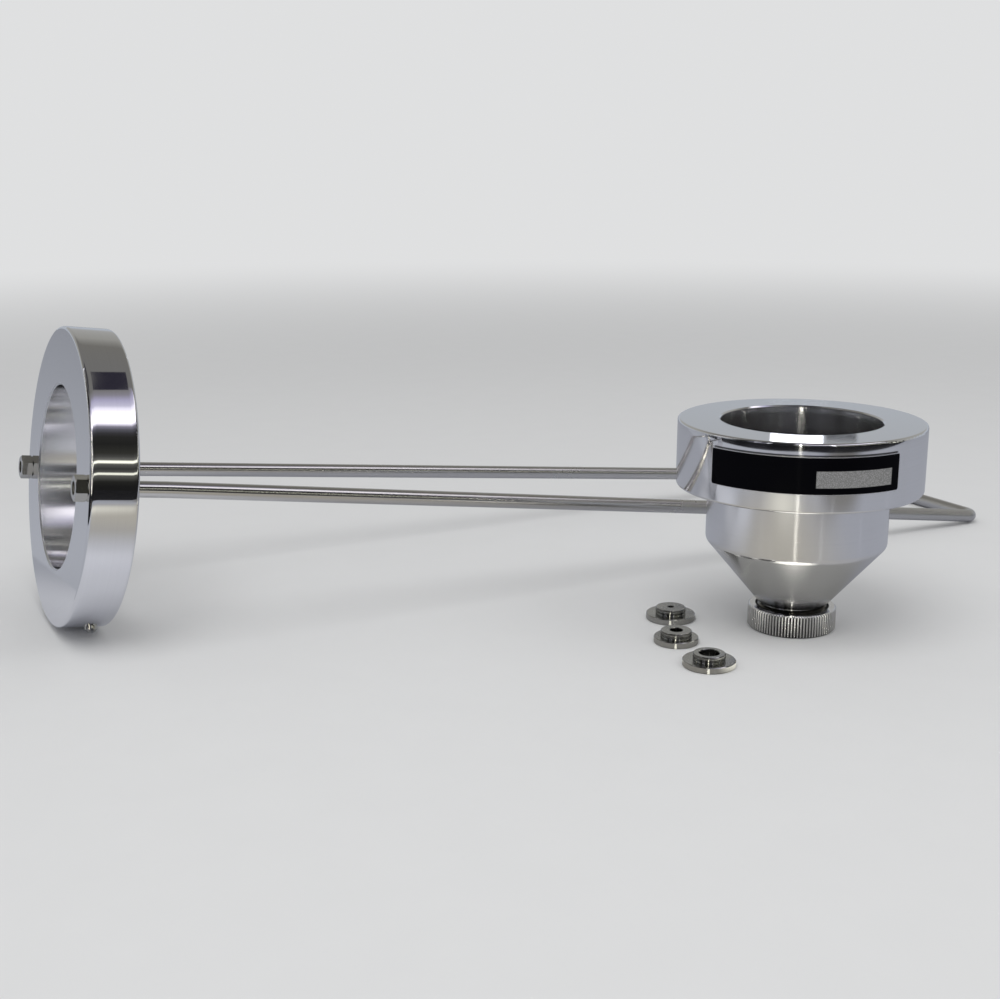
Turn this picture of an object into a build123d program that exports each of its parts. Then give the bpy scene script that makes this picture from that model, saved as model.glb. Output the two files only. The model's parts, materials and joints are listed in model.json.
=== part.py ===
from build123d import *
from math import asin, atan2, cos, degrees, hypot, pi, radians, sin, tan
import os

# Viscosity flow cup set: a turned cup with a conical bottom and a knurled union nut,
# three loose nozzles, and a holder ring on a long bent-rod bail.
# Row frame: +Z up, the table is z = 0, the origin is the cup's axis at the foot of its nut,
# and the holder lies along X behind the cup. All lengths are in millimetres.

# Cup
cup_bore_d = 50.0
barrel_wall = 3.5
barrel_height = 17.8
rim_ledge = 10.0
rim_height = 21.0
cone_height = 20.3
cone_bore_drop = 0.6
seam_round = 2.5
rim_edge_round = 0.8
mouth_chamfer = 0.5

# Spout, union nut and seal
thread_d = 22.0
thread_depth = 0.75
thread_clearance = 0.1
neck_lip = 0.3
bare_thread = 1.4
nut_od = 28.0
nut_height = 7.3
nut_lip = 2.0
outlet_d = 12.0
nut_mouth_d = 23.2
nut_mouth_depth = 1.8
nut_edge = 0.5
knurl_pitch = 1.0
knurl_depth = 0.4
knurl_land = 0.3
seal_thickness = 0.8
seal_clearance = 0.2

# Nozzles: name, bore, flange diameter and place on the table
boss_d = 9.8
boss_height = 2.0
nozzle_flange = 2.0
seat_clearance = 0.1
nozzle_edge = 0.25
groove_width = 0.4
groove_depth = 0.3
nozzles = [
    ("nozzle_2mm", 2.0, 16.0, (-30.8, 23.8)),
    ("nozzle_4mm", 4.0, 14.0, (-42.4, 3.8)),
    ("nozzle_6mm", 6.0, 16.0, (-45.5, -17.9)),
]

# Blank name plate on the rim
plate_start = -171.0
plate_arc = 88.5
plate_height = 11.3
plate_above_ledge = 5.9
plate_thickness = 0.4
plate_corner = 1.2
glue_gap = 0.05

# Holder ring
ring_thickness = 14.6
ring_clearance = 0.7
ring_round = 1.0
ring_chamfer = 0.5
leg_clearance = 1.7
hole_to_edge = 5.0
hole_clearance = 0.1
ring_spin = 7.0

# Bail: one bent rod with turned-down threaded ends
rod_d = 5.0
rod_thread_d = 4.0
rod_end_back = 1.0
bail_length = 362.0
bail_corner = 5.5
leg_stub = 9.0
leg_stub_bend = 80.0
end_chamfer = 0.4

# Rod nuts and clamp screw
rod_nut_af = 7.0
rod_nut_height = 3.6
rod_nut_play = 0.05
rod_nut_turns = (50.0, 30.0)
rod_nut_chamfer = 30.0
screw_d = 4.0
screw_play = 0.08
screw_out = 2.0
screw_back = 0.5
screw_point = 0.6
screw_end_chamfer = 1.0
screw_slot_width = 0.7
screw_slot_depth = 1.3
screw_from_face = 9.8
screw_angle = 21.0

# Edges are picked by a length or a radius that agrees to this much
same = 0.01

# Where the holder lies beside the cup
ring_face_x = -207.65
holder_y = 110.5

# Sizes that follow from the ones above
barrel_d = cup_bore_d + 2 * barrel_wall
rim_d = barrel_d + 2 * rim_ledge
core_d = thread_d - 2 * thread_depth
neck_d = thread_d + 2 * neck_lip
seat_d = boss_d + 2 * seat_clearance
nut_bore_d = core_d + 2 * thread_clearance
seal_od = nut_bore_d - 2 * seal_clearance
seal_id = seat_d + 2 * seal_clearance
leg_spacing = rim_d + rod_d + 2 * leg_clearance
ring_bore_d = barrel_d + 2 * ring_clearance
ring_od = leg_spacing + 2 * hole_to_edge

# Heights up the cup's axis
spout_end = nut_lip + seal_thickness
seat_top = spout_end + boss_height
cone_bottom = nut_height + bare_thread
cone_top = cone_bottom + cone_height
ledge = cone_top + barrel_height
rim_top = ledge + rim_height

# The holder rests on the ring's rounded back edge and on the bar of the bail
edge_run = bail_length - ring_thickness + ring_round
edge_drop = ring_od / 2 - ring_round
tilt = atan2(edge_drop, edge_run) - asin((rod_d / 2 - ring_round) / hypot(edge_run, edge_drop))
ring_z = (ring_thickness - ring_round) * sin(tilt) + edge_drop * cos(tilt) + ring_round

along = Vector(cos(tilt), 0, -sin(tilt))
across = Vector(0, 1, 0)
upward = Vector(sin(tilt), 0, cos(tilt))
holder_origin = Vector(ring_face_x, holder_y, ring_z)
ring_plane = Plane(origin=holder_origin, x_dir=across, z_dir=along)


def holder_point(length, sideways, height):
    """A point given along the holder, across it and up from its axis."""
    return holder_origin + along * length + across * sideways + upward * height


# The ring is turned a little about its own axis, so the far leg's hole is the lower one
hole_y = leg_spacing / 2 * cos(radians(ring_spin))
hole_z = leg_spacing / 2 * sin(radians(ring_spin))
hole_places = [(-hole_y, hole_z), (hole_y, -hole_z)]
rod_hole_d = rod_thread_d + 2 * hole_clearance

screw_out_dir = across * -sin(radians(screw_angle)) + upward * -cos(radians(screw_angle))
screw_origin = holder_origin + along * screw_from_face
screw_plane = Plane(origin=screw_origin, x_dir=along, z_dir=screw_out_dir)


def cup():
    """The cup, turned from one piece: rim, barrel, cone and threaded spout, bored through."""
    with BuildPart() as cup_body:
        with BuildSketch(Plane.XZ):
            with BuildLine():
                Polyline(
                    (seat_d / 2, spout_end),
                    (core_d / 2, spout_end),
                    (core_d / 2, cone_bottom),
                    (neck_d / 2, cone_bottom),
                    (barrel_d / 2, cone_top),
                    (barrel_d / 2, ledge),
                    (rim_d / 2, ledge),
                    (rim_d / 2, rim_top),
                    (cup_bore_d / 2, rim_top),
                    (cup_bore_d / 2, cone_top - cone_bore_drop),
                    (seat_d / 2, seat_top),
                    close=True,
                )
            make_face()
        revolve(axis=Axis.Z)
        circles = cup_body.edges().filter_by(GeomType.CIRCLE)
        seam = circles.filter_by(lambda e: abs(e.radius - barrel_d / 2) < same).sort_by(Axis.Z)[0]
        fillet(seam, seam_round)
        circles = cup_body.edges().filter_by(GeomType.CIRCLE)
        fillet(circles.filter_by(lambda e: abs(e.radius - rim_d / 2) < same), rim_edge_round)
        mouth = cup_body.edges().filter_by(GeomType.CIRCLE).sort_by(Axis.Z)[-2:].sort_by(SortBy.RADIUS)[0]
        chamfer(mouth, mouth_chamfer)
        spout = cup_body.edges().filter_by(GeomType.CIRCLE).group_by(Axis.Z)[0].sort_by(SortBy.RADIUS)[-1]
        chamfer(spout, nut_edge)
    return cup_body


def knurled_nut():
    """The union nut: straight-knurled outside, a wide plain mouth, and a lip that carries the nozzle."""
    teeth = round(pi * nut_od / knurl_pitch)
    groove_half = (pi * nut_od / teeth - knurl_land) / 2
    with BuildPart() as union_nut:
        with BuildSketch():
            Circle(nut_od / 2)
            with PolarLocations(nut_od / 2, teeth):
                Polygon(
                    (-knurl_depth, 0),
                    (knurl_depth, -2 * groove_half),
                    (knurl_depth, 2 * groove_half),
                    align=None,
                    mode=Mode.SUBTRACT,
                )
        extrude(amount=nut_height)
        with BuildSketch(Plane.XZ):
            with BuildLine():
                Polyline(
                    (outlet_d / 2, 0),
                    (nut_od / 2 - nut_edge, 0),
                    (nut_od / 2, nut_edge),
                    (nut_od / 2, nut_height - nut_edge),
                    (nut_od / 2 - nut_edge, nut_height),
                    (nut_mouth_d / 2, nut_height),
                    (nut_mouth_d / 2, nut_height - nut_mouth_depth),
                    (nut_bore_d / 2, nut_height - nut_mouth_depth),
                    (nut_bore_d / 2, nut_lip),
                    (outlet_d / 2, nut_lip),
                    close=True,
                )
            make_face()
        revolve(axis=Axis.Z, mode=Mode.INTERSECT)
    return union_nut


def seal():
    """The flat seal between the nut's lip and the end of the spout."""
    with BuildPart() as seal_washer:
        with BuildSketch(Plane.XY.offset(nut_lip)):
            Circle(seal_od / 2)
            Circle(seal_id / 2, mode=Mode.SUBTRACT)
        extrude(amount=seal_thickness)
    return seal_washer


def nozzle(bore_d, flange_d, place):
    """A flanged nozzle, lying boss up: the boss goes into the spout, the flange under it."""
    top = nozzle_flange + boss_height
    middle = nozzle_flange + boss_height / 2
    axis_plane = Plane(origin=(place[0], place[1], 0), x_dir=(1, 0, 0), z_dir=(0, -1, 0))
    with BuildPart() as piece:
        with BuildSketch(axis_plane):
            with BuildLine():
                Polyline(
                    (bore_d / 2, 0),
                    (flange_d / 2 - nozzle_edge, 0),
                    (flange_d / 2, nozzle_edge),
                    (flange_d / 2, nozzle_flange - nozzle_edge),
                    (flange_d / 2 - nozzle_edge, nozzle_flange),
                    (boss_d / 2 - groove_depth, nozzle_flange),
                    (boss_d / 2 - groove_depth, nozzle_flange + groove_width),
                    (boss_d / 2, nozzle_flange + groove_width),
                    (boss_d / 2, middle),
                    (boss_d / 2 - groove_depth, middle),
                    (boss_d / 2 - groove_depth, middle + groove_width),
                    (boss_d / 2, middle + groove_width),
                    (boss_d / 2, top - nozzle_edge),
                    (boss_d / 2 - nozzle_edge, top),
                    (bore_d / 2 + nozzle_edge, top),
                    (bore_d / 2, top - nozzle_edge),
                    close=True,
                )
            make_face()
        revolve(axis=Axis((place[0], place[1], 0), (0, 0, 1)))
    return piece


def plate():
    """The blank name plate, bent round the front of the rim."""
    start = radians(plate_start)
    outward = (cos(start), sin(start), 0)
    plate_plane = Plane(origin=(0, 0, 0), x_dir=outward, z_dir=(sin(start), -cos(start), 0))
    inner = rim_d / 2 + glue_gap
    with BuildPart() as name_plate:
        with BuildSketch(plate_plane):
            with Locations((inner, ledge + plate_above_ledge)):
                Rectangle(plate_thickness, plate_height, align=(Align.MIN, Align.MIN))
        revolve(axis=Axis.Z, revolution_arc=plate_arc)
        corners = name_plate.edges().filter_by(GeomType.LINE)
        corners = corners.filter_by(lambda e: abs(e.length - plate_thickness) < same)
        fillet(corners, plate_corner)
    return name_plate


def ring():
    """The heavy holder ring, bored to slip over the barrel, with two rod holes and a clamp screw hole."""
    with BuildPart() as holder_ring:
        with BuildSketch(ring_plane):
            Circle(ring_od / 2)
            Circle(ring_bore_d / 2, mode=Mode.SUBTRACT)
        extrude(amount=ring_thickness)
        circles = holder_ring.edges().filter_by(GeomType.CIRCLE)
        fillet(circles.filter_by(lambda e: abs(e.radius - ring_od / 2) < same), ring_round)
        circles = holder_ring.edges().filter_by(GeomType.CIRCLE)
        chamfer(circles.filter_by(lambda e: abs(e.radius - ring_bore_d / 2) < same), ring_chamfer)
        with BuildSketch(ring_plane):
            with Locations(*hole_places):
                Circle(rod_hole_d / 2)
        extrude(amount=ring_thickness, mode=Mode.SUBTRACT)
        with BuildSketch(screw_plane):
            Circle(screw_d / 2 + screw_play)
        extrude(amount=ring_od, mode=Mode.SUBTRACT)
    return holder_ring


def bail_rod():
    """The bail: one rod bent square at both corners of its bar, its ends turned down for the nuts."""
    half = leg_spacing / 2
    near_hole, far_hole = hole_places
    with BuildPart() as bail:
        with BuildLine() as route:
            FilletPolyline(
                holder_point(ring_thickness, *near_hole),
                holder_point(ring_thickness + leg_stub, *near_hole),
                holder_point(bail_length, -half, 0),
                holder_point(bail_length, half, 0),
                holder_point(ring_thickness + leg_stub, *far_hole),
                holder_point(ring_thickness, *far_hole),
                radius=[leg_stub_bend, bail_corner, bail_corner, leg_stub_bend],
            )
        with BuildSketch(Plane(origin=route.line @ 0, z_dir=route.line % 0)):
            Circle(rod_d / 2)
        sweep(path=route.line)
        with BuildSketch(ring_plane.offset(ring_thickness)):
            with Locations(*hole_places):
                Circle(rod_thread_d / 2)
        extrude(amount=-(ring_thickness + rod_nut_height - rod_end_back))
        tips = bail.faces().filter_by(GeomType.PLANE).group_by(Axis.X)[0].edges()
        chamfer(tips, end_chamfer)
    return bail


def hex_nut(place, turn):
    """A hexagon nut on a rod's end, seated on the ring's front face."""
    corner_r = rod_nut_af / 2 / cos(pi / 6)
    chamfer_drop = (corner_r - rod_nut_af / 2) * tan(radians(rod_nut_chamfer))
    bore_r = rod_thread_d / 2 + rod_nut_play
    centre = holder_origin + across * place[0] + upward * place[1]
    nut_plane = Plane(origin=centre, x_dir=across, z_dir=along * -1)
    with BuildPart() as rod_nut:
        with BuildSketch(nut_plane):
            RegularPolygon(rod_nut_af / 2, 6, major_radius=False, rotation=turn)
        extrude(amount=rod_nut_height)
        with BuildSketch(Plane(origin=centre, x_dir=across, z_dir=upward)):
            with BuildLine():
                Polyline(
                    (bore_r, 0),
                    (rod_nut_af / 2, 0),
                    (corner_r, chamfer_drop),
                    (corner_r, rod_nut_height - chamfer_drop),
                    (rod_nut_af / 2, rod_nut_height),
                    (bore_r, rod_nut_height),
                    close=True,
                )
            make_face()
        revolve(axis=Axis(centre, along), mode=Mode.INTERSECT)
    return rod_nut


def grub_screw():
    """The slotted clamp screw, set radially in the ring to grip the cup's barrel."""
    outer = ring_od / 2 + screw_out
    inner = ring_bore_d / 2 + screw_back
    with BuildPart() as clamp_screw:
        with BuildSketch(screw_plane.offset(inner)):
            Circle(screw_d / 2)
        extrude(amount=outer - inner)
        rims = clamp_screw.edges().filter_by(GeomType.CIRCLE).sort_by(Axis(screw_origin, screw_out_dir))
        chamfer(rims[0], screw_point)
        chamfer(rims[-1], screw_end_chamfer)
        with BuildSketch(screw_plane.offset(outer)):
            Rectangle(screw_slot_width, screw_d * 2)
        extrude(amount=-screw_slot_depth, mode=Mode.SUBTRACT)
    return clamp_screw


pieces = {
    "cup_body": cup(),
    "union_nut": knurled_nut(),
    "seal_washer": seal(),
    "name_plate": plate(),
    "holder_ring": ring(),
    "bail": bail_rod(),
    "rod_nut_near": hex_nut(hole_places[0], rod_nut_turns[0]),
    "rod_nut_far": hex_nut(hole_places[1], rod_nut_turns[1]),
    "clamp_screw": grub_screw(),
}
for nozzle_name, bore_d, flange_d, place in nozzles:
    pieces[nozzle_name] = nozzle(bore_d, flange_d, place)

os.makedirs("parts", exist_ok=True)
for name, piece in pieces.items():
    piece.part.label = name
    export_step(piece.part, f"parts/{name}.step")

print("holder tilt", round(degrees(tilt), 3), "ring centre height", round(ring_z, 3))
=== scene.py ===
import bpy
import json
from math import cos, pi, radians, sin
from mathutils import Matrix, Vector


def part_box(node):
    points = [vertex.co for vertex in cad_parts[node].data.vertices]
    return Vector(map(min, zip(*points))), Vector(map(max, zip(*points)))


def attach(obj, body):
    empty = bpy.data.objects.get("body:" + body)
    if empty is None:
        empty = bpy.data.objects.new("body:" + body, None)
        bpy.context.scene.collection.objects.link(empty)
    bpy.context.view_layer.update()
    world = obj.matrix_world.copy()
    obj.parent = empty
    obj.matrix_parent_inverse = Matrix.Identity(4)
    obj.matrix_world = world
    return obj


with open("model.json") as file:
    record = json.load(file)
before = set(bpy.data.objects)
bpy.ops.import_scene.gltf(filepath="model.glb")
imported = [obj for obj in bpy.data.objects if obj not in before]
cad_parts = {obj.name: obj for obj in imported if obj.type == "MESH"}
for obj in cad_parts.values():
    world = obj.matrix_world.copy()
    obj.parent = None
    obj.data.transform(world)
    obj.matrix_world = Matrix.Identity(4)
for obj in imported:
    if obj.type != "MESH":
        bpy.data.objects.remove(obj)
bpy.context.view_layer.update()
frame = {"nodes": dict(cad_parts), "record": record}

# Viscosity flow cup: finishes, thread detail, table and soft studio light.
# Metres, +Z up; the cup's axis is the origin and the holder lies along X behind it.
MM = 0.001
nodes = frame["nodes"]
mounts = {m["name"]: m for m in frame["record"]["mounts"]}

# Camera, at the photograph's viewing angle
camera_place = Vector((-286.41, -341.27, 149.985)) * MM
camera_turn = 27.763
camera_down = 13.942
camera_lens = 50.825

# Sizes taken from the frame; the ring's bore is measured there without its chamfers
ring_chamfer = 0.5 * MM
cup_low, cup_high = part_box("cup_body")
nut_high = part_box("union_nut")[1]
plate_low, plate_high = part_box("name_plate")
rim_r = cup_high.x
rim_top = cup_high.z
bore_r = mounts["cup_mouth"]["dims"]["r_mm"] * MM
barrel_r = mounts["barrel"]["dims"]["r_mm"] * MM
barrel_mid = mounts["barrel"]["pos_m"][2]
barrel_half = mounts["barrel"]["dims"]["length_mm"] * MM / 2
ledge = barrel_mid + barrel_half
seam = barrel_mid - barrel_half
ring_centre = Vector(mounts["ring_bore"]["pos_m"])
ring_axis = -Vector(mounts["ring_bore"]["axis"])
ring_bore_r = mounts["ring_bore"]["dims"]["r_mm"] * MM
ring_half = mounts["ring_bore"]["dims"]["length_mm"] * MM / 2 + ring_chamfer
bar_place = Vector(mounts["hang_bar"]["pos_m"])
rod_r = mounts["hang_bar"]["dims"]["r_mm"] * MM

# Sizes that the frame doesn't give, and detail that the scene adds
plate_r = 38.95 * MM
rim_round = 0.86 * MM
seam_round = 1.11 * MM
ring_round = 1.02 * MM
up = Vector((0, 0, 1))
origin = Vector((0, 0, 0))
plate_turn = (-170.8, -82.7)
field_turn = (-122.5, -87.0)
field_height = (54.8 * MM, 59.8 * MM)
knurl_pitch = 1.0 * MM
teeth = round(2 * pi * nut_high.y / knurl_pitch)
mouth_r = 11.6 * MM
cone_foot = 8.7 * MM
nozzle_bores = {"nozzle_2mm": 1.0 * MM, "nozzle_4mm": 2.0 * MM, "nozzle_6mm": 3.0 * MM}
nozzle_boss_r = 4.9 * MM
nozzle_flange = 2.0 * MM
spout_core = 10.25 * MM
spout_crest = 11.0 * MM
spout_pitch = 1.5 * MM
spout_low = cup_low.z + 0.8 * MM
spout_high = nut_high.z + 0.8 * MM

# Marks that the finishes share: noise scales, the grooves' heights in millimetres, the share of its tone
# that a metal keeps in a groove, and the share that it keeps where shade is painted into a hollow
smudge_scale = 120.0
metal_smudge_scale = 90.0
speck_scale = 2500.0
speck_height = 0.02 * MM
groove_scales = (1000.0, 5000.0)
groove_heights = (0.004, 0.02)
groove_shade = 0.96
share_in_painted_shade = 0.16
least_rough = 0.02


def make_camera():
    data = bpy.data.cameras.new("photo_camera")
    data.lens = camera_lens
    data.sensor_width = 36.0
    data.clip_start = 0.01
    data.clip_end = 20.0
    camera = bpy.data.objects.new("photo_camera", data)
    camera.location = camera_place
    camera.rotation_euler = (radians(90 - camera_down), 0, radians(-camera_turn))
    bpy.context.scene.collection.objects.link(camera)
    bpy.context.scene.camera = camera


class Net:
    """A material's or the world's node tree, with short calls for the nodes used here."""

    def __init__(self, tree):
        self.tree = tree
        tree.nodes.clear()

    def put(self, socket, value):
        if isinstance(value, bpy.types.NodeSocket):
            self.tree.links.new(value, socket)
        elif socket.type == "RGBA" and len(value) == 3:
            socket.default_value = (*value, 1.0)
        else:
            socket.default_value = value

    def node(self, kind, inputs=None, **settings):
        made = self.tree.nodes.new("ShaderNode" + kind)
        for name, value in settings.items():
            setattr(made, name, value)
        for name, value in (inputs or {}).items():
            self.put(made.inputs[name], value)
        return made

    def math(self, operation, *values):
        made = self.tree.nodes.new("ShaderNodeMath")
        made.operation = operation
        for socket, value in zip(made.inputs, values):
            self.put(socket, value)
        return made.outputs[0]

    def spread(self, value, low, high, to_low=0.0, to_high=1.0, smooth=False):
        made = self.node("MapRange", {0: value, 1: low, 2: high, 3: to_low, 4: to_high})
        if smooth:
            made.interpolation_type = "SMOOTHSTEP"
        return made.outputs[0]

    def all_of(self, first, *others):
        """1 where all masks are 1."""
        for other in others:
            first = self.math("MULTIPLY", first, other)
        return first

    def within(self, value, low, high, soft, smooth=False):
        """1 between two values, with soft ends."""
        return self.all_of(self.spread(value, low - soft, low + soft, smooth=smooth),
                           self.spread(value, high - soft, high + soft, 1.0, 0.0, smooth=smooth))

    def mix(self, factor, first, second):
        made = self.tree.nodes.new("ShaderNodeMix")
        made.data_type = "RGBA"
        self.put(made.inputs[0], factor)
        self.put(made.inputs[6], first)
        self.put(made.inputs[7], second)
        return made.outputs[2]

    def noise(self, vector, scale, detail=2.0, rough=0.5):
        made = self.node("TexNoise", {"Vector": vector, "Scale": scale, "Detail": detail, "Roughness": rough})
        return made.outputs[0]

    def mix_number(self, factor, first, second):
        made = self.node("Mix", {0: factor, 2: first, 3: second})
        return made.outputs[0]

    def vector(self, operation, first, second=None, out="Vector"):
        made = self.node("VectorMath", operation=operation)
        self.put(made.inputs[0], first)
        if second is not None:
            self.put(made.inputs[1], second)
        return made.outputs[out]

    def scale(self, vector, factor):
        return self.vector("MULTIPLY", vector, (factor, factor, factor))

    def place(self):
        return self.node("TexCoord").outputs["Object"]

    def degrees_round_cup(self):
        """The angle round the cup's axis, from +X."""
        parts = self.node("SeparateXYZ", {0: self.place()}).outputs
        return self.math("MULTIPLY", self.math("ARCTAN2", parts[1], parts[0]), 180 / pi)

    def ramp(self, value, low, high, stops):
        """Colours by a value between low and high; each stop is a value and its colour."""
        made = self.node("ValToRGB", {0: self.spread(value, low, high)})
        ramp = made.color_ramp
        while len(ramp.elements) < len(stops):
            ramp.elements.new(0.5)
        for stop, (level, tone) in zip(ramp.elements, stops):
            stop.position = (level - low) / (high - low)
            stop.color = (*tone, 1.0)
        return made.outputs[0]


def turned(net, centre, axis):
    """Where a point is on a turned piece: its distance from the axis, its place along the axis,
    and the direction round the axis."""
    offset = net.vector("SUBTRACT", net.place(), centre)
    around = net.vector("CROSS_PRODUCT", axis, offset)
    away = net.vector("LENGTH", around, out="Value")
    along = net.vector("DOT_PRODUCT", offset, axis, out="Value")
    return away, along, around


def turn_angle(net, centre, axis, start):
    """The angle round an axis, in radians, from a given direction."""
    offset = net.vector("SUBTRACT", net.place(), centre)
    side = Vector(axis).cross(Vector(start))
    return net.math("ARCTAN2", net.vector("DOT_PRODUCT", offset, side, out="Value"),
                    net.vector("DOT_PRODUCT", offset, start, out="Value"))


def metal(name, colour, rough, centre, axis, stretch=0.9, grooves=0.1, rings=0.1, smudge=0.02,
          regions=(), relief=None, painted_shade=None, walls=()):
    """A turned metal: lathe grooves about an axis, which stretch its highlights across them, and soft
    smudges in the gloss. Each region is a mask maker and the roughness inside it. Relief is a maker of
    extra height in millimetres; the maker of painted shade gives a mask where shade is painted into hollows
    and recesses. Each wall is a mask maker for a cylinder's face, and 1 outside or -1 in a bore: there the
    shading is as round as the real face."""
    material = bpy.data.materials.new(name)
    material.use_nodes = True
    net = Net(material.node_tree)
    away, along, around = turned(net, centre, axis)
    marks = net.node("CombineXYZ", {0: away, 1: along, 2: 0.0}).outputs[0]
    smudges = net.noise(net.place(), metal_smudge_scale, 4.0, 0.6)
    ridges = net.noise(net.scale(marks, groove_scales[0]), 1.0, 3.0, 0.6)
    fine = net.noise(net.scale(marks, groove_scales[1]), 1.0, 3.0, 0.7)
    gloss = rough
    for mask, region_rough in regions:
        gloss = net.mix_number(mask(net, away, along), gloss, region_rough)
    gloss = net.math("MULTIPLY_ADD", net.math("SUBTRACT", smudges, 0.5), smudge * 4, gloss)
    gloss = net.math("MULTIPLY_ADD", net.math("SUBTRACT", fine, 0.5), smudge * 2, gloss)
    gloss = net.math("MAXIMUM", gloss, least_rough)
    tone = net.mix(net.spread(fine, 0.35, 0.65), [c * groove_shade for c in colour], colour)
    # Painted shade: hollows and recesses are darkened to a share of the tone
    if painted_shade:
        tone = net.mix(painted_shade(net, away, along), tone, [c * share_in_painted_shade for c in colour])
    height = net.math("MULTIPLY_ADD", ridges, groove_heights[0] * rings,
                      net.math("MULTIPLY", fine, groove_heights[1] * grooves))
    if relief:
        height = net.math("ADD", height, relief(net, away, along))
    normal = net.node("NewGeometry").outputs["Normal"]
    for mask, sign in walls:
        radial = net.vector("NORMALIZE", net.vector("CROSS_PRODUCT", net.scale(around, sign), axis))
        radial = net.node("VectorTransform", {0: radial}, vector_type="NORMAL",
                          convert_from="OBJECT", convert_to="WORLD").outputs[0]
        normal = net.mix(mask(net, away, along), normal, radial)
    normal = net.node("Bump", {"Height": height, "Strength": 1.0, "Distance": MM,
                               "Normal": normal}).outputs[0]
    tangent = net.node("VectorTransform", {0: around}, vector_type="VECTOR",
                       convert_from="OBJECT", convert_to="WORLD").outputs[0]
    shader = net.node("BsdfPrincipled", {"Base Color": tone, "Metallic": 1.0, "Roughness": gloss,
                                         "Anisotropic": stretch, "Anisotropic Rotation": 0.25,
                                         "Normal": normal, "Tangent": tangent})
    net.put(net.node("OutputMaterial").inputs[0], shader.outputs[0])
    return material


def drawn_steel(name, colour, rough, centre, axis, side, bar):
    """Drawn rod: fine marks that run along its legs, and along its bar past a given place on the axis.
    It is glossier at the axis' start than at the bar."""
    material = bpy.data.materials.new(name)
    material.use_nodes = True
    net = Net(material.node_tree)
    across_scale = 4000.0
    along_scale = 25.0
    offset = net.vector("SUBTRACT", net.place(), centre)
    along = net.vector("DOT_PRODUCT", offset, axis, out="Value")
    across = net.vector("DOT_PRODUCT", offset, side, out="Value")
    height_on_rod = net.vector("DOT_PRODUCT", offset, Vector(axis).cross(Vector(side)), out="Value")
    on_bar = net.spread(along, bar - 0.5 * MM, bar + 0.5 * MM)
    lengthwise = net.mix_number(on_bar, along, across)
    sidewise = net.mix_number(on_bar, across, along)
    marks = net.node("CombineXYZ", {0: net.math("MULTIPLY", sidewise, across_scale),
                                    1: net.math("MULTIPLY", height_on_rod, across_scale),
                                    2: net.math("MULTIPLY", lengthwise, along_scale)}).outputs[0]
    scratches = net.noise(marks, 1.0, 3.0, 0.7)
    smudges = net.noise(net.place(), smudge_scale, 4.0, 0.6)
    gloss = net.spread(along, 0.0, bar, *rough)
    gloss = net.math("MULTIPLY_ADD", net.math("SUBTRACT", smudges, 0.5), 0.04, gloss)
    tone = net.mix(net.spread(scratches, 0.3, 0.7), [c * 0.9 for c in colour], colour)
    height = net.math("MULTIPLY", scratches, 0.0005)
    normal = net.node("Bump", {"Height": height, "Strength": 1.0, "Distance": MM}).outputs[0]
    shader = net.node("BsdfPrincipled", {"Base Color": tone, "Metallic": 1.0, "Roughness": gloss,
                                         "Normal": normal})
    net.put(net.node("OutputMaterial").inputs[0], shader.outputs[0])
    return material


def plate_gloss(name, black, field_grey, edge_metal):
    """The name plate: deep black gloss, a bare grey dotted field for a number, and a bright cut edge."""
    material = bpy.data.materials.new(name)
    material.use_nodes = True
    net = Net(material.node_tree)
    away, along = turned(net, origin, up)[:2]
    angle = net.degrees_round_cup()
    field = net.all_of(net.within(angle, *field_turn, 0.1), net.within(along, *field_height, 0.06 * MM))
    face = net.all_of(net.within(angle, *plate_turn, 0.1),
                      net.within(along, plate_low.z + 0.15 * MM, plate_high.z - 0.25 * MM, 0.04 * MM))
    edge = net.math("MAXIMUM", net.spread(away, plate_r - 0.1 * MM, plate_r - 0.05 * MM, 1.0, 0.0),
                    net.math("SUBTRACT", 1.0, face))
    dots = net.node("TexVoronoi", {"Vector": net.place(), "Scale": 2800.0}).outputs["Distance"]
    grey = net.mix(net.spread(dots, 0.2, 0.6), field_grey, [c * 0.6 for c in field_grey])
    tone = net.mix(field, black, grey)
    tone = net.mix(edge, tone, edge_metal)
    smudges = net.noise(net.place(), smudge_scale, 4.0, 0.6)
    gloss = net.math("MULTIPLY_ADD", smudges, 0.08, 0.04)
    gloss = net.mix_number(net.math("MAXIMUM", field, edge), gloss, 0.35)
    specks = net.noise(net.place(), speck_scale)
    normal = net.node("Bump", {"Height": specks, "Strength": 0.05, "Distance": speck_height}).outputs[0]
    shader = net.node("BsdfPrincipled", {"Base Color": tone, "Roughness": gloss, "IOR": 1.1, "Metallic": edge,
                                         "Normal": normal})
    net.put(net.node("OutputMaterial").inputs[0], shader.outputs[0])
    return material


def plain_seal(name, colour, rough):
    material = bpy.data.materials.new(name)
    material.use_nodes = True
    net = Net(material.node_tree)
    specks = net.noise(net.place(), speck_scale)
    smudges = net.noise(net.place(), smudge_scale, 4.0, 0.6)
    gloss = net.math("MULTIPLY_ADD", smudges, 0.12, rough)
    normal = net.node("Bump", {"Height": specks, "Strength": 0.05, "Distance": speck_height}).outputs[0]
    tone = net.mix(net.spread(smudges, 0.3, 0.8), colour, [c * 0.94 for c in colour])
    shader = net.node("BsdfPrincipled", {"Base Color": tone, "Roughness": gloss, "Normal": normal})
    net.put(net.node("OutputMaterial").inputs[0], shader.outputs[0])
    return material


def dress(node, material):
    for place in nodes[node].material_slots:
        place.material = material


# Surroundings
pale = (0.74, 0.745, 0.75)


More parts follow.
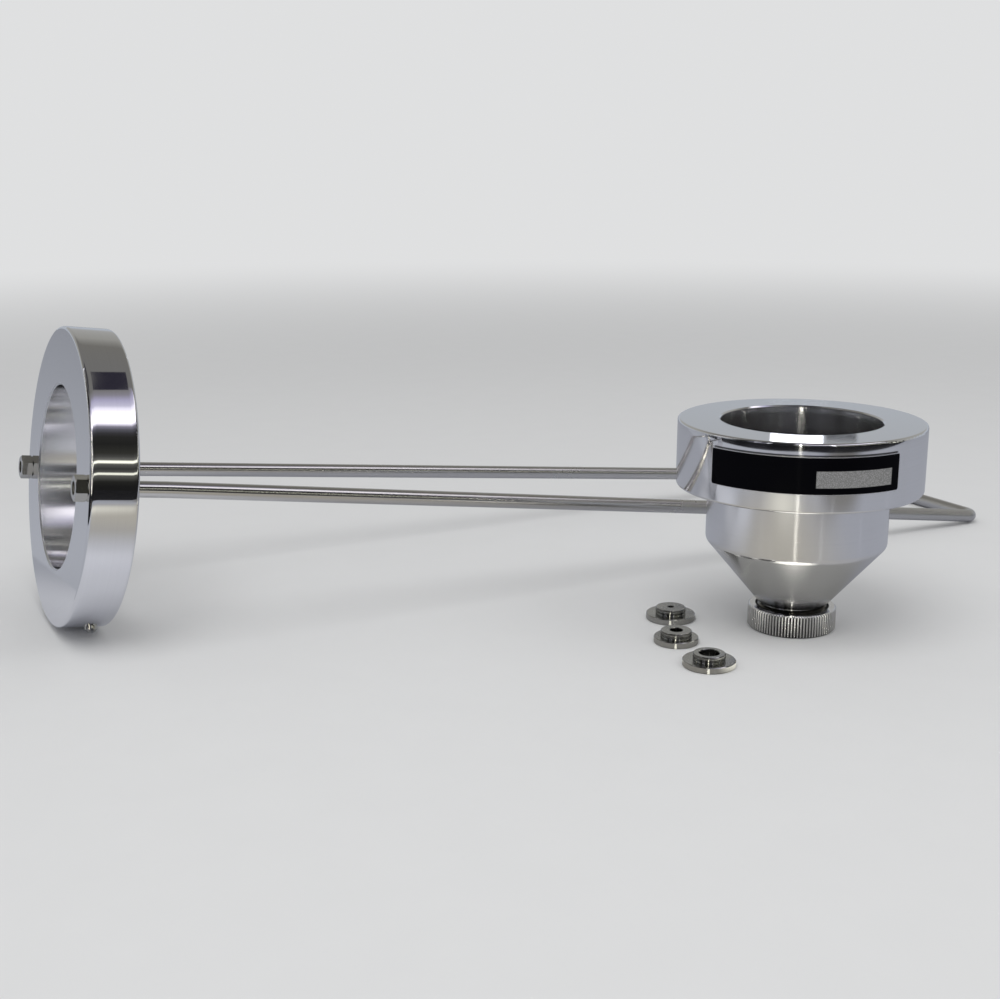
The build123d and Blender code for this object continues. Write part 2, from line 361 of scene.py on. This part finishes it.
def make_world():
    """A soft studio: pale where the camera looks, and for reflections a room with a high window,
    a dark side behind the camera, narrow strip lights and a light side behind the object."""
    world = bpy.data.worlds.new("studio")
    bpy.context.scene.world = world
    world.use_nodes = True
    net = Net(world.node_tree)
    way = net.node("TexCoord").outputs["Generated"]
    parts = net.node("SeparateXYZ", {0: way}).outputs
    azimuth = net.math("MULTIPLY", net.math("ARCTAN2", parts[0], parts[1]), 180 / pi)
    rise = net.math("MULTIPLY", net.math("ARCSINE", parts[2]), 180 / pi)

    colour = net.ramp(rise, 0.0, 90.0, (
        (8, (0.45, 0.485, 0.54)), (15, (0.376, 0.376, 0.366)), (34, (0.324, 0.32, 0.30)),
        (46, (0.178, 0.173, 0.16)), (66, (0.172, 0.169, 0.164)), (72, (0.172, 0.169, 0.164)),
        (76, (0.05, 0.05, 0.055))))
    window_side = net.ramp(rise, 0.0, 90.0, (
        (3.0, (0.012, 0.012, 0.012)), (6.5, (0.02, 0.02, 0.018)), (8.0, (0.05, 0.05, 0.046)),
        (11.0, (0.12, 0.12, 0.11)), (11.5, (1.1, 1.1, 0.95)), (12.4, (1.1, 1.1, 0.95)),
        (13.1, (0.09, 0.09, 0.085)), (15.5, (0.042, 0.042, 0.04)), (18.0, (0.09, 0.09, 0.085)),
        (19.2, (0.15, 0.15, 0.135)), (19.8, (1.35, 1.35, 1.16)), (20.9, (1.35, 1.35, 1.16)),
        (21.7, (0.17, 0.17, 0.155)), (24.0, (0.07, 0.07, 0.066)), (26.5, (0.034, 0.034, 0.03)),
        (33.0, (0.018, 0.018, 0.017)), (38.0, (0.024, 0.024, 0.023)), (40.5, (0.043, 0.042, 0.046)),
        (43.0, (0.10, 0.10, 0.12)), (45.2, (0.26, 0.25, 0.31)), (46.6, (0.9, 0.87, 1.0)),
        (48.0, (1.6, 1.55, 1.65)), (54.5, (1.35, 1.3, 1.4)), (57.5, (0.98, 0.95, 1.1)),
        (59.0, (0.62, 0.60, 0.75)), (62.5, (0.44, 0.42, 0.58)), (65.2, (0.26, 0.25, 0.29)),
        (68.0, (0.19, 0.185, 0.18))))

    def sector(middle, half, soft):
        """1 within so many degrees of an azimuth."""
        away = net.math("ABSOLUTE", net.math("WRAP", net.math("SUBTRACT", azimuth, middle), 180.0, -180.0))
        return net.spread(away, half - soft, half + soft, 1.0, 0.0, smooth=True)

    patches = (
        # azimuth middle, half width, soft; elevation low, high, soft; colour
        (-158.0, 83.0, 8.0, -90.0, 67.0, 0.5, (0.014, 0.014, 0.016)),
        (165.0, 60.0, 3.0, 0.0, 68.0, 0.5, window_side),
        (-159.0, 12.0, 3.0, 3.0, 44.0, 2.0, (0.10, 0.10, 0.12)),
        (-101.0, 9.0, 3.0, 3.0, 44.0, 2.0, (0.14, 0.14, 0.17)),
        (-54.4, 0.7, 0.3, 14.0, 60.0, 2.0, (2.0, 2.0, 2.3)),
        (132.6, 0.7, 0.3, 14.0, 44.0, 2.0, (2.0, 2.0, 2.3)),
        (-172.0, 0.8, 0.4, 16.0, 45.0, 2.0, (5.0, 5.0, 5.2)),
        (-110.0, 0.7, 0.4, 16.0, 45.0, 2.0, (2.6, 2.6, 2.8)),
        (-98.0, 0.7, 0.4, 16.0, 45.0, 2.0, (2.0, 2.0, 2.2)),
        (-140.5, 0.8, 0.4, 2.0, 45.0, 1.0, (18.0, 17.4, 15.4)),
        (39.85, 1.05, 0.05, 11.05, 13.0, 0.05, (2.6, 2.6, 2.8)),
        (41.6, 0.6, 0.1, 10.86, 11.24, 0.04, (0.01, 0.01, 0.015)),
    )
    for middle, half, soft, low, high, rim, tone in patches:
        patch = net.all_of(sector(middle, half, soft), net.within(rise, low, high, rim, smooth=True))
        colour = net.mix(patch, colour, tone)

    # A dark panel in the ceiling, by its place on a plane one unit up, with slanted ends
    panel_east = (0.3598, 0.3942)
    panel_north = (-0.172, 0.150)
    panel_slant = -1.3
    depth = net.math("MAXIMUM", parts[2], 0.01)
    east = net.math("DIVIDE", parts[0], depth)
    north = net.math("MULTIPLY_ADD", net.math("SUBTRACT", east, sum(panel_east) / 2), panel_slant,
                     net.math("DIVIDE", parts[1], depth))
    panel = net.all_of(net.within(east, *panel_east, 0.0015, smooth=True),
                       net.within(north, *panel_north, 0.008, smooth=True))
    colour = net.mix(panel, colour, (0.022, 0.020, 0.033))

    light = net.node("LightPath").outputs
    seen = net.node("Background", {0: pale, 1: 1.0}).outputs[0]
    felt = net.node("Background", {0: (0.55, 0.55, 0.55), 1: 1.0}).outputs[0]
    mirrored = net.node("Background", {0: colour, 1: 1.0}).outputs[0]
    shader = net.node("MixShader", {0: light["Is Glossy Ray"], 1: felt, 2: mirrored}).outputs[0]
    shader = net.node("MixShader", {0: light["Is Camera Ray"], 1: shader, 2: seen}).outputs[0]
    output = net.node("OutputWorld")
    net.put(output.inputs[0], shader)


def make_floor():
    """A pale table. Far from the object it fades into the plain background. In reflections it shows painted
    tones, light and shade.
    """
    reach = 6.0
    height = -0.02 * MM
    fade_start = 0.5
    fade_end = 1.6
    mesh = bpy.data.meshes.new("floor")
    corners = [(x * reach, y * reach, height) for x, y in ((-1, -1), (1, -1), (1, 1), (-1, 1))]
    mesh.from_pydata(corners, [], [(0, 1, 2, 3)])
    floor = bpy.data.objects.new("floor", mesh)
    bpy.context.scene.collection.objects.link(floor)
    material = bpy.data.materials.new("floor")
    material.use_nodes = True
    net = Net(material.node_tree)
    place = net.node("TexCoord").outputs["Object"]
    parts = net.node("SeparateXYZ", {0: place}).outputs
    distance = net.vector("LENGTH", place, out="Value")
    light = net.node("LightPath").outputs

    def spot(centre, full, end):
        """1 round a place on the table."""
        gap = net.vector("LENGTH", net.vector("SUBTRACT", place, (*centre, 0.0)), out="Value")
        return net.spread(gap, full, end, 1.0, 0.0, smooth=True)

    # In reflections only, the table shows painted tones: a warm tone, a painted glow of light, a painted
    # shade in front, a bluish patch, a painted shadow under the cup and a bright painted pool of light beside
    # the nut
    mirrored = (0.405, 0.42, 0.475)
    spots = (
        # centre, radius of the full tone, radius where it ends, tone
        ((-0.12, -0.08), 0.03, 0.22, (0.505, 0.48, 0.425)),
        ((-0.19, -0.15), 0.0, 0.09, (0.85, 0.83, 0.74)),
        ((-0.02, -0.30), 0.05, 0.12, (0.22, 0.215, 0.21)),
        ((-0.215, 0.09), 0.05, 0.11, (0.66, 0.675, 0.73)),
        ((-0.004, -0.006), 0.022, 0.045, (0.39, 0.39, 0.375)),
        ((-0.0275, -0.033), 0.010, 0.0215, (2.0, 1.96, 1.8)),
    )
    for centre, full, end, tone in spots:
        mirrored = net.mix(spot(centre, full, end), mirrored, tone)

    # Painted light: a narrow bright wedge on the table in front of each nozzle, towards the camera, seen only
    # in reflections
    wedge_slopes = (0.025, 0.065)
    wedge_ends = (14 * MM, 19 * MM)
    for name in nozzle_bores:
        low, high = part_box(name)
        middle = (low + high) / 2
        out = Vector((camera_place.x - middle.x, camera_place.y - middle.y, 0)).normalized()
        offset = net.vector("SUBTRACT", place, (middle.x, middle.y, 0.0))
        ahead = net.vector("DOT_PRODUCT", offset, out, out="Value")
        aside = net.math("ABSOLUTE", net.vector("DOT_PRODUCT", offset, (out.y, -out.x, 0), out="Value"))
        slope = net.math("DIVIDE", aside, net.math("MAXIMUM", ahead, MM))
        wedge = net.spread(slope, *wedge_slopes, 1.0, 0.0)
        painted_glint = net.all_of(wedge, net.spread(ahead, *wedge_ends, 1.0, 0.0))
        mirrored = net.mix(painted_glint, mirrored, (2.6, 2.55, 2.3))

    # Past a slanted line on the left the table mirrors another tone, and in front and far left it mirrors a
    # painted dark reflection
    left_slant = -0.146
    corner_slant = 0.42
    left = net.spread(net.math("MULTIPLY_ADD", parts[1], left_slant, parts[0]), -0.2585, -0.2565, 1.0, 0.0)
    corner = net.math("MULTIPLY_ADD", parts[1], corner_slant, parts[0])
    dark = net.math("MAXIMUM", net.spread(parts[1], -0.385, -0.325, 1.0, 0.0, smooth=True),
                    net.spread(corner, -0.42, -0.39, 1.0, 0.0, smooth=True))
    mirrored = net.mix(left, mirrored, (0.49, 0.51, 0.57))
    mirrored = net.mix(dark, mirrored, (0.012, 0.012, 0.015))

    grain = net.noise(place, 60.0, 3.0)
    sheet = net.mix(grain, (0.745, 0.75, 0.755), (0.765, 0.77, 0.775))
    colour = net.mix(light["Is Glossy Ray"], sheet, mirrored)
    table = net.node("BsdfDiffuse", {"Color": colour}).outputs[0]
    sheen = net.node("BsdfGlossy", {"Color": (1.0, 1.0, 1.0), "Roughness": 0.2}).outputs[0]
    sheen_share = net.math("MULTIPLY", light["Is Glossy Ray"], 0.06)
    table = net.node("MixShader", {0: sheen_share, 1: table, 2: sheen}).outputs[0]
    plain = net.node("Emission", {"Color": pale, "Strength": 1.0}).outputs[0]
    far = net.spread(distance, fade_start, fade_end, smooth=True)
    far = net.math("MULTIPLY", far, light["Is Camera Ray"])
    shader = net.node("MixShader", {0: far, 1: table, 2: plain}).outputs[0]
    output = net.node("OutputMaterial")
    net.put(output.inputs[0], shader)
    mesh.materials.append(material)


def make_lamps():
    """Two large soft lamps, which metal doesn't mirror: the world gives the reflections."""
    for name, place, size, power in (
        ("key", (-0.35, -0.25, 0.9), 0.7, 3.2),
        ("fill", (0.5, -0.5, 0.8), 0.7, 1.3),
    ):
        data = bpy.data.lights.new(name, "AREA")
        data.shape = "DISK"
        data.size = size
        data.energy = power
        lamp = bpy.data.objects.new(name, data)
        lamp.location = place
        lamp.rotation_euler = (Vector((0, 0.05, 0)) - Vector(place)).to_track_quat("-Z", "Y").to_euler()
        lamp.visible_glossy = False
        bpy.context.scene.collection.objects.link(lamp)


# Masks: each gives 1 on one part of a turned piece, by the distance from its axis and the place along it
def on_barrel(net, away, along):
    return net.all_of(net.spread(away, bore_r + 1.5 * MM, bore_r + 2 * MM),
                      net.spread(along, ledge - 0.2 * MM, ledge, 1.0, 0.0))


def on_cone(net, away, along):
    return net.spread(along, seam - 1.2 * MM, seam - 0.6 * MM, 1.0, 0.0)


def on_cup_walls(net, away, along):
    """The rim's side and the barrel, without their rounded edges."""
    outer = net.spread(away, barrel_r + 2.0 * MM, barrel_r + 2.1 * MM)
    rim = net.within(along, ledge + rim_round, rim_top - rim_round, 0.01 * MM)
    barrel = net.all_of(net.within(along, seam + seam_round, ledge - 0.03 * MM, 0.01 * MM),
                        net.spread(away, bore_r + 1.5 * MM, bore_r + 1.6 * MM))
    return net.mix_number(outer, barrel, rim)


def on_bore_wall(net, away, along):
    return net.all_of(net.spread(away, bore_r + 0.02 * MM, bore_r + 0.03 * MM, 1.0, 0.0),
                      net.spread(along, seam, seam + 0.1 * MM))


def on_ring_side(net, away, along):
    off_middle = net.math("ABSOLUTE", along)
    flat_end = ring_half - ring_round
    return net.all_of(net.spread(away, ring_bore_r + 8.0 * MM, ring_bore_r + 8.1 * MM),
                      net.spread(off_middle, flat_end - 0.01 * MM, flat_end + 0.01 * MM, 1.0, 0.0))


def on_ring_bore_wall(net, away, along):
    return net.spread(away, ring_bore_r + 0.02 * MM, ring_bore_r + 0.03 * MM, 1.0, 0.0)


def on_rim_top(net, away, along):
    return net.spread(along, rim_top - 0.1 * MM, rim_top - 0.03 * MM)


def in_bore(net, away, along):
    return net.all_of(net.spread(away, bore_r + 0.1 * MM, bore_r + 0.2 * MM, 1.0, 0.0),
                      net.spread(along, seam, seam + 0.5 * MM))


def in_ring_bore(net, away, along):
    return net.spread(away, ring_bore_r + 0.1 * MM, ring_bore_r + 0.2 * MM, 1.0, 0.0)


def at_ring_bore_edge(net, away, along):
    off_middle = net.math("ABSOLUTE", along)
    return net.all_of(net.spread(away, ring_bore_r + 0.05 * MM, ring_bore_r + 0.1 * MM),
                      net.spread(away, ring_bore_r + 0.6 * MM, ring_bore_r + 0.7 * MM, 1.0, 0.0),
                      net.spread(off_middle, ring_half - 0.7 * MM, ring_half - 0.6 * MM))


def fall_off(net, value, start, end, steep):
    """Height in millimetres that falls off with the square of the way from start to end."""
    past = net.math("MAXIMUM", net.math("SUBTRACT", net.math("MINIMUM", value, end), start), 0.0)
    return net.math("MULTIPLY", net.math("MULTIPLY", past, past), -steep / MM / MM)


def ring_edges(net, away, along):
    """The ring's outside falls off a little towards its edges, as polishing leaves it."""
    return fall_off(net, net.math("ABSOLUTE", along), ring_half - 2.2 * MM, ring_half - 1.0 * MM, 0.015)


def rim_edge(net, away, along):
    """The rim's side falls off a little towards its top edge."""
    return fall_off(net, along, rim_top - 2.7 * MM, rim_top - 0.8 * MM, 0.025)


def plate_shadow_line(net, away, along):
    """A painted contact shadow: a dark line on the rim along the top of the name plate."""
    angle = net.degrees_round_cup()
    start, end = plate_turn
    return net.all_of(net.spread(along, plate_high.z + 0.35 * MM, plate_high.z + 0.5 * MM, 1.0, 0.0),
                      net.spread(along, plate_high.z - 1.0 * MM, plate_high.z - 0.9 * MM),
                      net.spread(angle, end - 1.0, end, 1.0, 0.0),
                      net.spread(angle, start, start + 1.0),
                      net.spread(away, rim_r - 0.3 * MM, rim_r - 0.2 * MM))


def cup_painted_shade(net, away, along):
    """Painted shade: the spout under the cone and the bore's depth are darkened, and a painted contact shadow
    runs along the top of the name plate.
    """
    spout = net.spread(along, cone_foot, cone_foot + 4.5 * MM, 0.82, 0.0, smooth=True)
    bore = net.all_of(in_bore(net, away, along),
                      net.spread(along, rim_top - 13 * MM, rim_top - 6 * MM, 0.9, 0.0, smooth=True))
    return net.math("MAXIMUM", net.math("MAXIMUM", spout, bore), plate_shadow_line(net, away, along))


def knurl_crests(net, away, along):
    """Each knurl's narrow land is a little rounded."""
    land_half = 0.2
    steep = 0.5
    turn = net.math("MULTIPLY", turn_angle(net, origin, up, (1, 0, 0)), teeth / (2 * pi))
    off = net.math("SUBTRACT", net.math("FRACT", net.math("ADD", turn, teeth)), 0.5)
    off = net.math("MULTIPLY", net.math("MINIMUM", net.math("ABSOLUTE", off), land_half), knurl_pitch / MM)
    crest = net.math("MULTIPLY", net.math("MULTIPLY", off, off), -steep)
    return net.math("MULTIPLY", crest, on_knurl(net, away, along))


def on_knurl(net, away, along):
    return net.spread(away, nut_high.y - 0.5 * MM, nut_high.y - 0.45 * MM)


def nut_hollow_shade(net, away, along):
    """Painted shade between the knurls and in the nut's mouth."""
    hollow = net.all_of(net.spread(away, nut_high.y - 0.24 * MM, nut_high.y - 0.05 * MM, 1.0, 0.0),
                        on_knurl(net, away, along),
                        net.spread(along, nut_high.z - 0.6 * MM, nut_high.z - 0.4 * MM, 1.0, 0.0))
    return net.math("MAXIMUM", hollow, net.spread(away, mouth_r + 0.1 * MM, mouth_r + 0.2 * MM, 1.0, 0.0))


def nozzle_hollow_shade(bore, boss, top):
    """A maker of a mask for painted shade, which darkens a nozzle's bore, and its boss's side a little less.
    """
    def mask(net, away, along):
        side = net.all_of(net.spread(away, boss - 0.2 * MM, boss - 0.1 * MM, 0.0, 0.7),
                          net.spread(away, boss + 0.1 * MM, boss + 0.2 * MM, 1.0, 0.0),
                          net.spread(along, top, top + 0.1 * MM))
        return net.math("MAXIMUM", side, net.spread(away, bore + 0.1 * MM, bore + 0.2 * MM, 0.85, 0.0))
    return mask


def helix(name, body, centre, axis, root, crest, pitch, start, end, material):
    """A thread as one winding ridge round an axis, from start to end along it, run out at both ends."""
    axis = Vector(axis).normalized()
    side = axis.orthogonal().normalized()
    other = axis.cross(side)
    steps_a_turn = 64
    run_out = 16
    steps = round((end - start) / pitch * steps_a_turn)
    points = []
    for i in range(steps + 1):
        turn = 2 * pi * i / steps_a_turn
        middle = start + (end - start) * i / steps
        run = min(1.0, i / run_out, (steps - i) / run_out)
        out = side * cos(turn) + other * sin(turn)
        top = root + (crest - root) * run
        for r, shift in ((root, -0.46), (top, -0.08), (top, 0.08), (root, 0.46)):
            points.append(Vector(centre) + out * r + axis * (middle + shift * pitch))
    corners = [4 * i + j for i in range(steps) for j in range(3)]
    faces = [(k, k + 1, k + 5, k + 4) for k in corners]
    mesh = bpy.data.meshes.new(name)
    mesh.from_pydata(points, [], faces)
    mesh.shade_smooth()
    mesh.set_sharp_from_angle(angle=radians(30))
    piece = bpy.data.objects.new(name, mesh)
    bpy.context.scene.collection.objects.link(piece)
    mesh.materials.append(material)
    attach(piece, body)


make_camera()
make_world()
make_floor()
make_lamps()

# The cup's painted shade darkens its spout, its bore's depth and a line above the name plate
cup_metal = metal("cup_metal", (0.88, 0.88, 0.89), 0.055, origin, up, stretch=0.9, grooves=0.02, rings=0.3,
                  smudge=0.006, relief=rim_edge, painted_shade=cup_painted_shade,
                  regions=((on_barrel, 0.11), (on_cone, 0.17), (in_bore, 0.18), (on_rim_top, 0.03)),
                  walls=((on_cup_walls, 1), (on_bore_wall, -1)))
ring_metal = metal("ring_metal", (0.86, 0.86, 0.87), 0.03, ring_centre, ring_axis, stretch=1.0, grooves=0.02,
                   rings=0.1, smudge=0.004, relief=ring_edges,
                   regions=((in_ring_bore, 0.17), (at_ring_bore_edge, 0.4)),
                   walls=((on_ring_side, 1), (on_ring_bore_wall, -1)))
nut_metal = metal("nut_metal", (0.88, 0.88, 0.89), 0.12, origin, up, stretch=0.8, grooves=0.05, rings=0.2,
                  regions=((on_knurl, 0.24),), relief=knurl_crests, painted_shade=nut_hollow_shade)
# The thread's metal is painted dark: painted shade for the shadow under the cone
thread_metal = metal("thread_metal", (0.17, 0.165, 0.145), 0.25, origin, up, stretch=0.5, grooves=0.05,
                     rings=0.2)
rod_steel = drawn_steel("rod_steel", (0.70, 0.69, 0.67), (0.12, 0.38), ring_centre, ring_axis, (0, 1, 0),
                        (bar_place - ring_centre).dot(ring_axis) - 2 * rod_r)
fastener_steel = metal("fastener_steel", (0.55, 0.54, 0.50), 0.06, ring_centre, ring_axis, stretch=0.3,
                       rings=0.5, smudge=0.008)
plate_black = plate_gloss("plate_black", (0.002, 0.002, 0.003), (0.36, 0.36, 0.36), (0.8, 0.8, 0.82))
seal_white = plain_seal("seal_white", (0.85, 0.85, 0.83), 0.35)

dress("cup_body", cup_metal)
dress("union_nut", nut_metal)
dress("seal_washer", seal_white)
dress("name_plate", plate_black)
dress("holder_ring", ring_metal)
dress("bail", rod_steel)
for name in ("rod_nut_near", "rod_nut_far", "clamp_screw"):
    dress(name, fastener_steel)
for name, nozzle_bore_r in nozzle_bores.items():
    low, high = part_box(name)
    middle = (low + high) / 2
    # Painted shade in each nozzle's bore and along its boss
    nozzle_shade_mask = nozzle_hollow_shade(nozzle_bore_r, nozzle_boss_r, low.z + nozzle_flange - middle.z)
    dress(name, metal(name, (0.50, 0.50, 0.48), 0.16, middle, up, grooves=0.02, rings=0.05, painted_shade=nozzle_shade_mask))

helix("spout_thread", "cup", origin, up, spout_core - 0.02 * MM, spout_crest, spout_pitch,
      spout_low, spout_high, thread_metal)

scene = bpy.context.scene
scene.view_settings.view_transform = "Standard"
